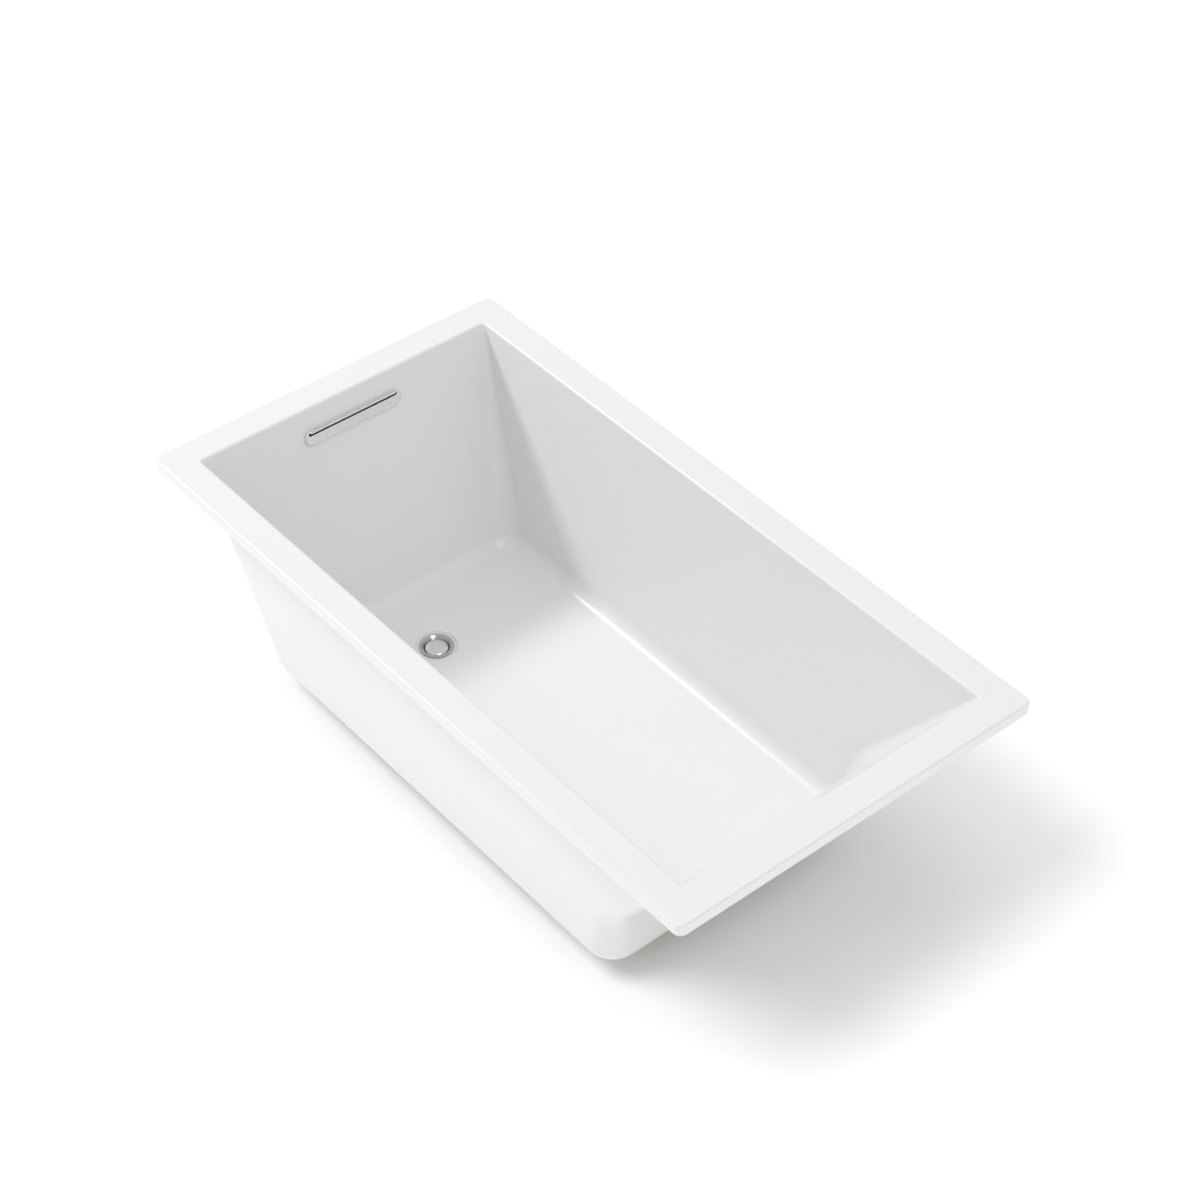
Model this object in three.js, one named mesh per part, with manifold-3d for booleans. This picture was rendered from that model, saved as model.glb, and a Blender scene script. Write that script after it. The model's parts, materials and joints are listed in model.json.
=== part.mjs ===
// A rectangular bath with an overhanging flat rim, a sloping backrest, a slot overflow and a press stopper.
// Millimetres, +Z up. The origin is the middle of the bath's footprint, on the surface that it stands on.
// +X is the backrest end and -X the drain end.
import * as THREE from "three";
import { mergeVertices } from "three/addons/utils/BufferGeometryUtils.js";
import Module from "manifold-3d";

const wasm = await Module();
wasm.setup();

// ---- Driving dimensions ----

// Rim
const overallLength = 1524;
const overallWidth = 813;
const overallHeight = 520;
const rimWidth = 65;
const rimCornerRadius = 15;
const rimEdgeRadius = 4;
const lipHeight = 25;
const lipThickness = 5;

// Basin
const shellThickness = 6;
const openingEdgeRadius = 5;
const cornerRadiusAtTop = 6;
const cornerGrowth = 0.1;
const sideLean = 0.093;
const drainEndLean = 0.285;
const backrestLean = 0.69;
const kneeHeight = 147;
const kneeRadius = 150;
const kneeWallLean = 0.1;
const floorFillet = 35;

// Fits
const restGap = 0.3;
const boltClearance = 0.4;
const slideClearance = 0.1;
const pipeClearance = 0.3;

// Rim battens
const battenWidth = 42;
const battenRecess = 1.2;
const battenSideGap = 5;

// Base board, cradle and feet
const boardThickness = 12;
const boardDrainGap = 72;
const boardHeadGap = 64.95;
const boardSideGap = 78.53;
const railWidth = 32;
const railHeight = 18;
const railWall = 2;
const railOverhang = 10;
const railInset = 75;
const footInset = 30;
const padRadius = 25;
const padHeight = 9;
const stemRadius = 6;
const stemBaseRadius = 11;
const stemBaseHeight = 4;
const lockNutAcross = 19;
const lockNutHeight = 7;
const screwRadius = 2;
const screwHeadRadius = 4.5;
const screwHeadHeight = 3;
const screwLength = 12;
const screwInset = 90;

// Drain
const drainFromEnd = 163.33;
const drainY = -22;
const recessMargin = 7;
const recessDepth = 2.5;
const flangeWidth = 5.5;
const flangeRimThickness = 2.2;
const flangeEdgeRound = 1.2;
const cupMouthRadius = 29.5;
const cupWall = 1.6;
const cupDepth = 14;
const cupTaper = 7;
const tubeWall = 3.5;
const tubeLength = 21;
const strainerBarWidth = 5;
const strainerBarHeight = 4;
const drainHoleClearance = 1;
const sealThickness = 1.3;
const gasketThickness = 2;

// Stopper
const stopperTravel = 9;
const stopperCapClearance = 0.75;
const stopperCapRim = 2.5;
const stopperDomeHeight = 6;
const stopperSink = 1;
const stopperSealHeight = 2;
const plungerRadius = 4;
const barrelWall = 2.9;
const barrelLength = 22;
const barrelFloor = 2;
const barrelCollarWidth = 2;
const barrelCollarHeight = 1.2;
const hubWall = 3;
const springWire = 0.9;
const springTurns = 3;

// Waste pipes
const pipeRadius = 18;
const pipeWall = 2;
const groundGap = 2;
const socketWall = 2.6;
const socketDepth = 26;
const slipNutWall = 2.8;
const slipNutLength = 20;
const slipNutFlange = 4;
const washerLength = 5;
const shoeWall = 3.5;
const shoeFlangeWidth = 7;
const shoeFlangeThickness = 3;
const shoeFloorHeight = 5;
const shoeSocketLength = 32.2;
const riserGap = 11;
const teeReach = 42;
const teeRise = 48;
const teeFootHeight = 5;

// Overflow
const overflowDepth = 58;
const trimLength = 231;
const trimHeight = 32;
const trimThickness = 2.2;
const trimSkirt = 1.8;
const slotHeight = 7;
const slotEndMargin = 9;
const bracketThickness = 2.5;
const cutoutMargin = 5;
const bodyFlangeMargin = 8;
const bodyFlangeThickness = 3;
const bodyDepth = 20;
const bodyWall = 3;
const bossRadius = 6;
const bossInset = 22;
const overflowScrewLength = 18;
const spigotRise = 46;
const spigotDrop = 46;

// Smoothness
const cornerSteps = 5;
const roundSides = 24;
const smallSides = 12;
const cupSides = 48;

// ---- Values that follow from the driving dimensions ----

// The slip nuts set how high the bath stands: they lie between the ground and the floor's underside.
const socketRadius = pipeRadius + pipeClearance + socketWall;
const slipNutRadius = socketRadius + pipeClearance + slipNutWall;
const pipeCentreHeight = groundGap + slipNutRadius;
const floorUnder = pipeCentreHeight + slipNutRadius + groundGap;
const floorHeight = floorUnder + shellThickness;

const openingHalfLength = overallLength / 2 - rimWidth;
const openingHalfWidth = overallWidth / 2 - rimWidth;
const basinDepth = overallHeight - floorHeight;
const kneeDepth = basinDepth - kneeHeight;
const kneeX = openingHalfLength - backrestLean * kneeDepth;
const floorDrainX = drainEndLean * basinDepth - openingHalfLength;
const floorHeadX = kneeX - kneeWallLean * kneeHeight;
const floorHalfWidth = openingHalfWidth - sideLean * basinDepth;
const rimUnder = overallHeight - shellThickness;
const lipBottom = overallHeight - lipHeight;
const lipInnerX = overallLength / 2 - lipThickness;
const lipInnerY = overallWidth / 2 - lipThickness;
const battenHeight = lipHeight - shellThickness - restGap - battenRecess;
const riserX = slipNutRadius + riserGap - lipInnerX;

const drainX = floorDrainX + drainFromEnd;
const throatRadius = cupMouthRadius - cupTaper;
const threadRadius = throatRadius + tubeWall;
const cupOutside = cupMouthRadius - (cupTaper * flangeRimThickness) / cupDepth + cupWall;
const flangeRadius = cupMouthRadius + flangeWidth;
const drainHoleRadius = cupOutside + drainHoleClearance;
const recessRadius = flangeRadius + recessMargin;
const shoeFlangeRadius = drainHoleRadius + shoeFlangeWidth;
const plungerLength = 2 * stopperTravel;
const barrelRadius = plungerRadius + slideClearance + barrelWall;
const flangeTop = floorHeight - recessDepth + sealThickness + 2 * restGap + flangeRimThickness;
const cutoutLength = trimLength - 2 * cutoutMargin;
const cutoutHeight = trimHeight - 2 * cutoutMargin;
const slotRise = (cutoutHeight - slotHeight) / 2;
const overflowScrewRise = -slotHeight / 2;

// The frame of the overflow: +X along the bath's width, +Y up the drain-end wall, +Z into the bath.
const intoBath = new THREE.Vector3(1, 0, drainEndLean).normalize();
const alongWidth = new THREE.Vector3(0, 1, 0);
const upTheWall = new THREE.Vector3().crossVectors(intoBath, alongWidth);
const overflowFrame = new THREE.Matrix4().makeBasis(alongWidth, upTheWall, intoBath);
const overflowX = drainEndLean * overflowDepth - openingHalfLength;
overflowFrame.setPosition(overflowX, 0, overallHeight - overflowDepth);

// ---- Materials ----

const acrylic = new THREE.MeshStandardMaterial({ color: 0xf2f2f1, roughness: 0.18, metalness: 0 });
const chrome = new THREE.MeshStandardMaterial({ color: 0xc9ccd0, roughness: 0.08, metalness: 1 });
const brass = new THREE.MeshStandardMaterial({ color: 0xb08d4a, roughness: 0.35, metalness: 1 });
const steel = new THREE.MeshStandardMaterial({ color: 0xa9adb0, roughness: 0.4, metalness: 1 });
const rubber = new THREE.MeshStandardMaterial({ color: 0x1d1d1f, roughness: 0.8, metalness: 0 });
const timber = new THREE.MeshStandardMaterial({ color: 0xb99565, roughness: 0.7, metalness: 0 });
const plastic = new THREE.MeshStandardMaterial({ color: 0x2b2c2e, roughness: 0.5, metalness: 0 });

// ---- Solids ----

// A closed mesh as a manifold solid that can be joined and cut.
function solid(geometry) {
  const bare = geometry.clone();
  bare.deleteAttribute("normal");
  bare.deleteAttribute("uv");
  const merged = mergeVertices(bare, 1e-4);
  const vertProperties = merged.attributes.position.array;
  const triVerts = new Uint32Array(merged.index.array);
  return new wasm.Manifold(new wasm.Mesh({ numProp: 3, vertProperties, triVerts }));
}

// A manifold solid as a geometry that a mesh can use.
function geometryOf(made) {
  const mesh = made.getMesh();
  const geometry = new THREE.BufferGeometry();
  geometry.setAttribute("position", new THREE.BufferAttribute(mesh.vertProperties, 3));
  geometry.setIndex(new THREE.BufferAttribute(mesh.triVerts, 1));
  geometry.computeVertexNormals();
  return geometry;
}

function piece(name, geometry, material) {
  const mesh = new THREE.Mesh(geometry, material);
  mesh.name = name;
  return mesh;
}

// A shape of revolution about +Z; the outline lists [radius, height] going up its outer side.
function turned(outline, sides = roundSides) {
  const points = outline.map(([radius, height]) => new THREE.Vector2(radius, height));
  points.push(points[0].clone());
  return new THREE.LatheGeometry(points, sides).rotateX(Math.PI / 2);
}

function ring(outerRadius, innerRadius, bottom, top, sides = roundSides) {
  return turned(
    [
      [outerRadius, bottom],
      [outerRadius, top],
      [innerRadius, top],
      [innerRadius, bottom],
    ],
    sides,
  );
}

function rod(radius, bottom, top, sides = roundSides) {
  const geometry = new THREE.CylinderGeometry(radius, radius, top - bottom, sides);
  return geometry.rotateX(Math.PI / 2).translate(0, 0, (bottom + top) / 2);
}

function block(x0, x1, y0, y1, z0, z1) {
  const geometry = new THREE.BoxGeometry(x1 - x0, y1 - y0, z1 - z0);
  return geometry.translate((x0 + x1) / 2, (y0 + y1) / 2, (z0 + z1) / 2);
}

// A flat outline with two straight sides and two round ends, extruded along +Z.
function stadium(length, height, bottom, top) {
  const radius = height / 2;
  const halfStraight = length / 2 - radius;
  const shape = new THREE.Shape();
  shape.absarc(halfStraight, 0, radius, -Math.PI / 2, Math.PI / 2, false);
  shape.absarc(-halfStraight, 0, radius, Math.PI / 2, (3 * Math.PI) / 2, false);
  shape.closePath();
  const settings = { depth: top - bottom, bevelEnabled: false, curveSegments: 8 };
  return new THREE.ExtrudeGeometry(shape, settings).translate(0, 0, bottom);
}

// ---- Bath shell ----

// The rounded knee of the backrest is an arc that touches the slope above it and the foot below it.
const slopeLength = Math.hypot(1, backrestLean);
const footLength = Math.hypot(1, kneeWallLean);
const arcDrop = (kneeRadius * (slopeLength - footLength)) / (backrestLean - kneeWallLean);
const arcDepth = kneeDepth + arcDrop;
const arcX = kneeX - backrestLean * arcDrop + kneeRadius * slopeLength;
const arcTop = arcDepth - (kneeRadius * backrestLean) / slopeLength;
const arcBottom = arcDepth - (kneeRadius * kneeWallLean) / footLength;

// How far the backrest wall stands from the middle at a depth below the rim.
function backrestReach(depth) {
  if (depth <= arcTop) return openingHalfLength - backrestLean * depth;
  if (depth >= arcBottom) return kneeX + kneeWallLean * (kneeDepth - depth);
  return arcX - Math.sqrt(kneeRadius ** 2 - (arcDepth - depth) ** 2);
}

// The reach of a wall near the floor, where a fillet turns it in to meet the floor.
function filletedReach(straightReach, lean, heightAboveFloor, radius) {
  const tangentHeight = radius * (1 - lean / Math.hypot(1, lean));
  if (heightAboveFloor >= tangentHeight) return straightReach;
  const reachAtFloor = straightReach - lean * heightAboveFloor;
  const centre = reachAtFloor + lean * radius - radius * Math.hypot(1, lean);
  return centre + Math.sqrt(Math.max(radius ** 2 - (radius - heightAboveFloor) ** 2, 0));
}

// A level loop of points round a rectangle with rounded corners.
function loopAt(height, xMin, xMax, halfWidth, radius) {
  const corners = [
    [xMax - radius, halfWidth - radius, 0],
    [xMin + radius, halfWidth - radius, 1],
    [xMin + radius, -halfWidth + radius, 2],
    [xMax - radius, -halfWidth + radius, 3],
  ];
  const points = [];
  for (const [cx, cy, quarter] of corners) {
    for (let step = 0; step <= cornerSteps; step += 1) {
      const angle = ((quarter + step / cornerSteps) * Math.PI) / 2;
      points.push(new THREE.Vector3(cx + radius * Math.cos(angle), cy + radius * Math.sin(angle), height));
    }
  }
  return points;
}

// One loop of the basin at a depth below the rim: its inner face, or with a skin its outer face.
function basinLoop(depth, skin, flare = 0) {
  const fillet = floorFillet + skin;
  const above = Math.max(basinDepth + skin - depth, 0);
  const sideStraight = openingHalfWidth - sideLean * depth;
  const side = filletedReach(sideStraight, sideLean, above, fillet);
  const drainEnd = filletedReach(openingHalfLength - drainEndLean * depth, drainEndLean, above, fillet);
  const backrest = filletedReach(backrestReach(depth), kneeWallLean, above, fillet);
  const cornerRadius = cornerRadiusAtTop + cornerGrowth * depth - (sideStraight - side);
  const grow = skin + flare;
  const height = overallHeight - depth;
  return loopAt(height, -drainEnd - grow, backrest + grow, side + grow, Math.max(cornerRadius, 2) + grow);
}

function rimLoop(height, inset) {
  const halfLength = overallLength / 2 - inset;
  const radius = Math.max(rimCornerRadius - inset, 2);
  return loopAt(height, -halfLength, halfLength, overallWidth / 2 - inset, radius);
}

// A closed skin through a list of loops that all have the same number of points.
function skinThrough(loops) {
  const count = loops[0].length;
  const position = [];
  const index = [];
  for (const loop of loops) {
    for (const point of loop) position.push(point.x, point.y, point.z);
  }
  for (let level = 0; level + 1 < loops.length; level += 1) {
    for (let i = 0; i < count; i += 1) {
      const a = level * count + i;
      const b = level * count + ((i + 1) % count);
      index.push(a, b + count, b, a, a + count, b + count);
    }
  }
  const last = (loops.length - 1) * count;
  for (let i = 1; i + 1 < count; i += 1) {
    index.push(0, i, i + 1);
    index.push(last, last + i + 1, last + i);
  }
  const geometry = new THREE.BufferGeometry();
  geometry.setAttribute("position", new THREE.Float32BufferAttribute(position, 3));
  geometry.setIndex(index);
  return geometry;
}

function steps(count, from, to) {
  return Array.from({ length: count + 1 }, (_, i) => from + ((to - from) * i) / count);
}

// The depths of the basin's loops from its floor up: the fillet, then the backrest's knee.
function basinDepths(skin) {
  const radius = floorFillet + skin;
  const fillet = steps(5, Math.PI / 2, 0).map((angle) => basinDepth + skin - radius * (1 - Math.sin(angle)));
  return [...fillet, ...steps(4, arcBottom, arcTop)];
}

function basinShell() {
  const loops = basinDepths(0).map((depth) => basinLoop(depth, 0));
  for (const angle of steps(3, 0, Math.PI / 2)) {
    const depth = openingEdgeRadius * (1 - Math.sin(angle));
    loops.push(basinLoop(depth, 0, openingEdgeRadius * (1 - Math.cos(angle))));
  }
  for (const angle of steps(3, Math.PI / 2, 0)) {
    const height = overallHeight - rimEdgeRadius * (1 - Math.sin(angle));
    loops.push(rimLoop(height, rimEdgeRadius * (1 - Math.cos(angle))));
  }
  loops.push(rimLoop(lipBottom, 0));
  loops.push(rimLoop(lipBottom, lipThickness));
  loops.push(rimLoop(rimUnder, lipThickness));
  loops.push(basinLoop(shellThickness, shellThickness));
  const outerDepths = basinDepths(shellThickness).reverse();
  loops.push(...outerDepths.map((depth) => basinLoop(depth, shellThickness)));

  const drainHole = rod(drainHoleRadius, floorUnder - 10, floorHeight + 10).translate(drainX, drainY, 0);
  const recessFloor = floorHeight - recessDepth;
  const recess = rod(recessRadius, recessFloor, floorHeight + 10, 2 * roundSides);
  recess.translate(drainX, drainY, 0);
  const cutout = stadium(cutoutLength, cutoutHeight, -20, 10).applyMatrix4(overflowFrame);
  const made = solid(skinThrough(loops)).subtract(solid(drainHole)).subtract(solid(recess));
  return piece("basin_shell", geometryOf(made.subtract(solid(cutout))), acrylic);
}

// ---- Rim battens ----

function rimBattens() {
  const bottom = rimUnder - restGap - battenHeight;
  const top = rimUnder - restGap;
  const endOuter = lipInnerX - battenSideGap;
  const sideOuter = lipInnerY - battenSideGap;
  const sideHalfLength = endOuter - battenWidth - battenSideGap;
  const group = new THREE.Group();
  for (const [name, way] of [["rim_batten_head", 1], ["rim_batten_drain", -1]]) {
    const box = block(endOuter - battenWidth, endOuter, -sideOuter, sideOuter, bottom, top);
    group.add(piece(name, way > 0 ? box : box.rotateZ(Math.PI), timber));
  }
  for (const [name, way] of [["rim_batten_far", 1], ["rim_batten_near", -1]]) {
    const box = block(-sideHalfLength, sideHalfLength, sideOuter - battenWidth, sideOuter, bottom, top);
    group.add(piece(name, way > 0 ? box : box.rotateZ(Math.PI), timber));
  }
  return group;
}

// ---- Base board, cradle rails, feet ----

const boardStart = drainX + boardDrainGap;
const boardEnd = floorHeadX - boardHeadGap;
const boardHalfWidth = floorHalfWidth - boardSideGap;
const boardTop = floorUnder - restGap;
const boardBottom = boardTop - boardThickness;
const railTop = boardBottom - restGap;
const railBottom = railTop - railHeight;
const railHalfLength = boardHalfWidth + railOverhang;
const screwSpots = [-screwInset, screwInset];
const footSpots = [-(railHalfLength - footInset), railHalfLength - footInset];
const railSpots = [
  { end: "drain", x: boardStart + railInset },
  { end: "head", x: boardEnd - railInset },
];

function baseBoard() {
  let made = solid(block(boardStart, boardEnd, -boardHalfWidth, boardHalfWidth, boardBottom, boardTop));
  for (const rail of railSpots) {
    for (const y of screwSpots) {
      const top = railTop - railWall + screwLength + 1;
      const hole = rod(screwRadius + boltClearance, boardBottom - 1, top, smallSides);
      made = made.subtract(solid(hole.translate(rail.x, y, 0)));
    }
  }
  return piece("base_board", geometryOf(made), timber);
}

function cradleRail(end) {
  const half = railWidth / 2;
  let made = solid(block(-half, half, -railHalfLength, railHalfLength, railBottom, railTop));
  const hollow = block(
    railWall - half,
    half - railWall,
    -railHalfLength - 1,
    railHalfLength + 1,
    railBottom - 1,
    railTop - railWall,
  );
  made = made.subtract(solid(hollow));
  for (const y of screwSpots) {
    const hole = rod(screwRadius + boltClearance, railBottom, railTop + 1, smallSides).translate(0, y, 0);
    made = made.subtract(solid(hole));
  }
  for (const y of footSpots) {
    const hole = rod(stemRadius + boltClearance, railBottom, railTop + 1, smallSides).translate(0, y, 0);
    made = made.subtract(solid(hole));
  }
  return piece(`cradle_rail_${end}`, geometryOf(made), steel);
}

function railScrew(name) {
  const headTop = railTop - railWall - restGap;
  const head = headTop - screwHeadHeight;
  const tip = headTop + screwLength;
  const outline = [
    [0, head],
    [screwHeadRadius, head],
    [screwHeadRadius, headTop],
    [screwRadius, headTop],
    [screwRadius, tip - screwRadius],
    [0, tip],
  ];
  return piece(name, turned(outline, smallSides), steel);
}

function foot(label) {
  const group = new THREE.Group();
  const pad = turned([
    [0, 0],
    [padRadius - 2, 0],
    [padRadius, 2],
    [padRadius, padHeight - 3],
    [stemBaseRadius + 3, padHeight],
    [0, padHeight],
  ]);
  group.add(piece(`foot_pad_${label}`, pad, plastic));
  const stemBottom = padHeight + restGap;
  const stemTop = railTop - restGap;
  const stem = turned([
    [0, stemBottom],
    [stemBaseRadius, stemBottom],
    [stemBaseRadius, stemBottom + stemBaseHeight],
    [stemRadius, stemBottom + stemBaseHeight],
    [stemRadius, stemTop],
    [0, stemTop],
  ], smallSides);
  group.add(piece(`foot_stem_${label}`, stem, steel));
  const nutTop = railTop - railWall - restGap;
  const corner = lockNutAcross / Math.sqrt(3);
  const nut = solid(rod(corner, nutTop - lockNutHeight, nutTop, 6));
  const bore = solid(rod(stemRadius + restGap, nutTop - lockNutHeight - 1, nutTop + 1, smallSides));
  group.add(piece(`foot_lock_nut_${label}`, geometryOf(nut.subtract(bore)), steel));
  return group;
}

function cradle() {
  const group = new THREE.Group();
  group.add(baseBoard());
  for (const rail of railSpots) {
    const across = new THREE.Group();
    across.position.x = rail.x;
    across.add(cradleRail(rail.end));
    for (const [i, side] of ["near", "far"].entries()) {
      const screw = railScrew(`rail_screw_${rail.end}_${side}`);
      screw.position.y = screwSpots[i];
      const leg = foot(`${rail.end}_${side}`);
      leg.position.y = footSpots[i];
      across.add(screw, leg);
    }
    group.add(across);
  }
  return group;
}

// ---- Drain and stopper, in a frame at the drain's centre ----

const cupFloor = flangeTop - cupDepth;
const flangeUnder = flangeTop - flangeRimThickness;
const cupFlare = (cupOutside - threadRadius) / (flangeUnder - cupFloor);
const threadBottom = flangeTop - tubeLength;
const capPeak = flangeTop - stopperSink;
const capRimTop = capPeak - stopperDomeHeight;
const capBottom = capRimTop - stopperCapRim;
const cupRadiusAtCap = throatRadius + (cupTaper * (capBottom - cupFloor)) / cupDepth;
const stopperCapRadius = cupRadiusAtCap - stopperCapClearance;

function drainFlange() {
  const cup = turned(
    [
      [threadRadius, threadBottom],
      [threadRadius, cupFloor],
      [cupOutside, flangeUnder],
      [flangeRadius, flangeUnder],
      [flangeRadius, flangeTop - flangeEdgeRound],
      [flangeRadius - flangeEdgeRound, flangeTop],
      [cupMouthRadius, flangeTop],
      [throatRadius, cupFloor],
      [throatRadius, threadBottom],
    ],
    cupSides,
  );
  const half = strainerBarWidth / 2;
  const top = threadBottom + strainerBarHeight;
  const reach = throatRadius + 1;
  const barX = solid(block(-reach, reach, -half, half, threadBottom, top));
  const barY = solid(block(-half, half, -reach, reach, threadBottom, top));
  const hub = solid(rod(barrelRadius + restGap + hubWall, threadBottom, top));
  const hole = solid(rod(barrelRadius + restGap, threadBottom - 1, top + 1));
  const made = solid(cup).add(barX).add(barY).add(hub).subtract(hole);
  return piece("drain_flange", geometryOf(made), chrome);
}

function drainSeals() {
  const group = new THREE.Group();
  const sealBottom = floorHeight - recessDepth + restGap;
  const seal = ring(flangeRadius - 1, drainHoleRadius + 0.5, sealBottom, sealBottom + sealThickness);
  group.add(piece("drain_seal", seal, rubber));
  const gasketTop = floorUnder - restGap;
  const gasket = ring(shoeFlangeRadius, drainHoleRadius, gasketTop - gasketThickness, gasketTop);
  group.add(piece("shoe_gasket", gasket, rubber));
  return group;
}

function stopper() {
  const group = new THREE.Group();
  const domeSteps = 5;
  const sphere = (stopperCapRadius ** 2 + stopperDomeHeight ** 2) / (2 * stopperDomeHeight);
  const dome = steps(domeSteps, stopperCapRadius, 0).map((radius) => [
    radius,
    capPeak - sphere + Math.sqrt(sphere ** 2 - radius ** 2),
  ]);
  const cap = turned([[0, capBottom], [stopperCapRadius, capBottom], ...dome]);
  group.add(piece("stopper_cap", cap, chrome));
  const sealTop = capBottom - restGap;
  const seal = ring(throatRadius - 0.5, plungerRadius + 4, sealTop - stopperSealHeight, sealTop);
  group.add(piece("stopper_seal", seal, rubber));
  const plungerTop = capBottom - restGap;
  const plunger = rod(plungerRadius, plungerTop - plungerLength, plungerTop);
  group.add(piece("stopper_plunger", plunger, brass));

  const collarUnder = threadBottom + strainerBarHeight + restGap;
  const barrelTop = collarUnder + barrelCollarHeight;
  const barrelBottom = barrelTop - barrelLength;
  const bore = plungerRadius + slideClearance;
  const barrel = turned([
    [barrelRadius, barrelBottom],
    [barrelRadius, collarUnder],
    [barrelRadius + barrelCollarWidth, collarUnder],
    [barrelRadius + barrelCollarWidth, barrelTop],
    [bore, barrelTop],
    [bore, barrelBottom + barrelFloor],
    [1.5, barrelBottom + barrelFloor],
    [1.5, barrelBottom],
  ]);
  group.add(piece("stopper_barrel", barrel, brass));
  const springBottom = barrelBottom + barrelFloor + restGap;
  const springTop = plungerTop - plungerLength - restGap;
  group.add(piece("stopper_spring", coil(springBottom, springTop), steel));
  return group;
}

// A compression spring between two heights, inside the barrel.
function coil(bottom, top) {
  const radius = plungerRadius - springWire / 2 - 0.2;
  const rise = top - bottom - springWire;
  class Helix extends THREE.Curve {
    getPoint(t, target = new THREE.Vector3()) {
      const angle = 2 * Math.PI * springTurns * t;
      const height = bottom + springWire / 2 + rise * t;
      return target.set(radius * Math.cos(angle), radius * Math.sin(angle), height);
    }
  }
  const wire = new THREE.Shape();
  wire.absarc(0, 0, springWire / 2, 0, 2 * Math.PI, false);
  const extrudePath = new Helix();
  const settings = { steps: 8 * springTurns, curveSegments: 6, bevelEnabled: false, extrudePath };
  return new THREE.ExtrudeGeometry(wire, settings);
}

// ---- Waste pipes ----

// A slip nut and its washer on a socket whose mouth is at height 0 and which opens along +Z.
function slipJoint(label) {
  const group = new THREE.Group();
  const bore = pipeRadius + pipeClearance;
  const washer = ring(socketRadius - restGap, bore, restGap, restGap + washerLength);
  group.add(piece(`slip_washer_${label}`, washer, rubber));
  const shoulder = 2 * restGap + washerLength;
  const nut = turned([
    [slipNutRadius, shoulder + slipNutFlange - slipNutLength],
    [slipNutRadius, shoulder + slipNutFlange - 2],
    [slipNutRadius - 2, shoulder + slipNutFlange],
    [bore, shoulder + slipNutFlange],
    [bore, shoulder],
    [socketRadius + pipeClearance, shoulder],
    [socketRadius + pipeClearance, shoulder + slipNutFlange - slipNutLength],
  ]);
  group.add(piece(`slip_nut_${label}`, nut, chrome));
  return group;
}

const pipeBore = pipeRadius - pipeWall;
const socketBore = pipeRadius + pipeClearance;
const shoeBore = threadRadius + pipeClearance;
const shoeMouthX = drainX - shoeBore - shoeWall - shoeSocketLength;
const teeMouthX = riserX + teeReach;
const teeTop = pipeCentreHeight + teeRise;
const spigotBottom = overallHeight - overflowDepth - spigotDrop;

// A level cylinder from x0 to x1 at the pipe's height.
function levelRod(radius, x0, x1) {
  const geometry = new THREE.CylinderGeometry(radius, radius, x1 - x0, roundSides).rotateZ(Math.PI / 2);
  return geometry.translate((x0 + x1) / 2, drainY, pipeCentreHeight);
}

function uprightRod(radius, x, bottom, top, sides = roundSides) {
  return rod(radius, bottom, top, sides).translate(x, drainY, 0);
}

function wasteShoe() {
  const shoeTop = floorUnder - 2 * restGap - gasketThickness;
  const under = shoeTop - shoeFlangeThickness;
  const mouth = turned(
    [
      [0, cupFloor],
      [shoeBore, cupFloor],
      [shoeBore + cupFlare * (shoeTop + 1 - cupFloor), shoeTop + 1],
      [0, shoeTop + 1],
    ],
    cupSides,
  );
  let made = solid(uprightRod(shoeBore + shoeWall, drainX, shoeFloorHeight, shoeTop));
  made = made.add(solid(uprightRod(shoeFlangeRadius, drainX, under, shoeTop)));
  made = made.add(solid(levelRod(socketRadius, shoeMouthX, drainX)));
  made = made.subtract(solid(mouth.translate(drainX, drainY, 0)));
  const boreFloor = shoeFloorHeight + shoeWall;
  made = made.subtract(solid(uprightRod(shoeBore, drainX, boreFloor, cupFloor + 1, cupSides)));
  made = made.subtract(solid(levelRod(pipeBore, shoeMouthX - 1, drainX)));
  made = made.subtract(solid(levelRod(socketBore, shoeMouthX - 1, shoeMouthX + socketDepth)));
  return piece("waste_shoe", geometryOf(made), brass);
}

function wasteTee() {
  let made = solid(uprightRod(socketRadius, riserX, teeFootHeight, teeTop));
  made = made.add(solid(levelRod(socketRadius, riserX, teeMouthX)));
  made = made.subtract(solid(uprightRod(pipeBore, riserX, teeFootHeight - 1, teeTop + 1)));
  made = made.subtract(solid(uprightRod(socketBore, riserX, teeTop - socketDepth, teeTop + 1)));
  made = made.subtract(solid(levelRod(pipeBore, riserX, teeMouthX + 1)));
  made = made.subtract(solid(levelRod(socketBore, teeMouthX - socketDepth / 2, teeMouthX + 1)));
  return piece("waste_tee", geometryOf(made), brass);
}

function pipes() {
  const group = new THREE.Group();
  const from = teeMouthX - socketDepth / 2 + 1;
  const to = shoeMouthX + socketDepth - 1;
  const wastePipe = ring(pipeRadius, pipeBore, from, to).rotateY(Math.PI / 2);
  group.add(piece("waste_pipe", wastePipe.translate(0, drainY, pipeCentreHeight), brass));
  const riser = ring(pipeRadius, pipeBore, teeTop - socketDepth + 1, spigotBottom + socketDepth - 1);
  group.add(piece("riser_pipe", riser.translate(riserX, drainY, 0), brass));

  const shoeJoint = slipJoint("shoe");
  shoeJoint.rotation.y = -Math.PI / 2;
  shoeJoint.position.set(shoeMouthX, drainY, pipeCentreHeight);
  const branchJoint = slipJoint("branch");
  branchJoint.rotation.y = Math.PI / 2;
  branchJoint.position.set(teeMouthX, drainY, pipeCentreHeight);
  const teeJoint = slipJoint("tee");
  teeJoint.position.set(riserX, drainY, teeTop);
  const overflowJoint = slipJoint("overflow");
  overflowJoint.rotation.x = Math.PI;
  overflowJoint.position.set(riserX, drainY, spigotBottom);
  group.add(shoeJoint, branchJoint, teeJoint, overflowJoint);
  return group;
}

// ---- Overflow ----

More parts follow.
